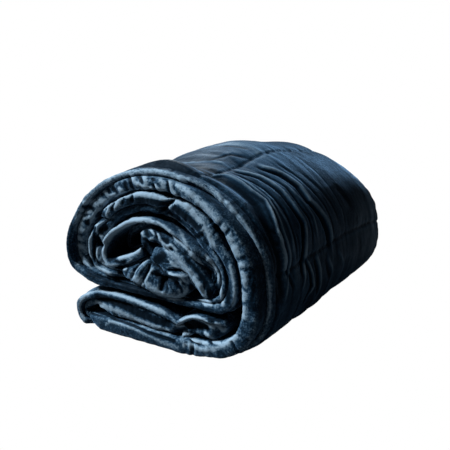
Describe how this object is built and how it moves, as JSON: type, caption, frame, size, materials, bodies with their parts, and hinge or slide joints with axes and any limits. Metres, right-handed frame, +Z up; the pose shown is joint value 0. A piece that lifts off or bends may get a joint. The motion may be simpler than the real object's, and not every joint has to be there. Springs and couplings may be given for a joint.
{
  "type": "rolled weighted blanket",
  "caption": "Quilted velvet weighted blanket, folded in three across its width and rolled up with its tail tucked under, open layered end in front.",
  "frame": {"origin": "centre of the flat underside that the roll rests on, under the middle of its box", "axes": "+Z up, +Y along the roll from its open layered end to its folded end, +X to the right seen from the open end"},
  "size_m": [0.3262, 0.424, 0.2491],
  "materials": {
    "blue_velvet": "short-pile velvet"
  },
  "bodies": {
    "root": {"blanket": "blue_velvet"}
  },
  "joints": []
}
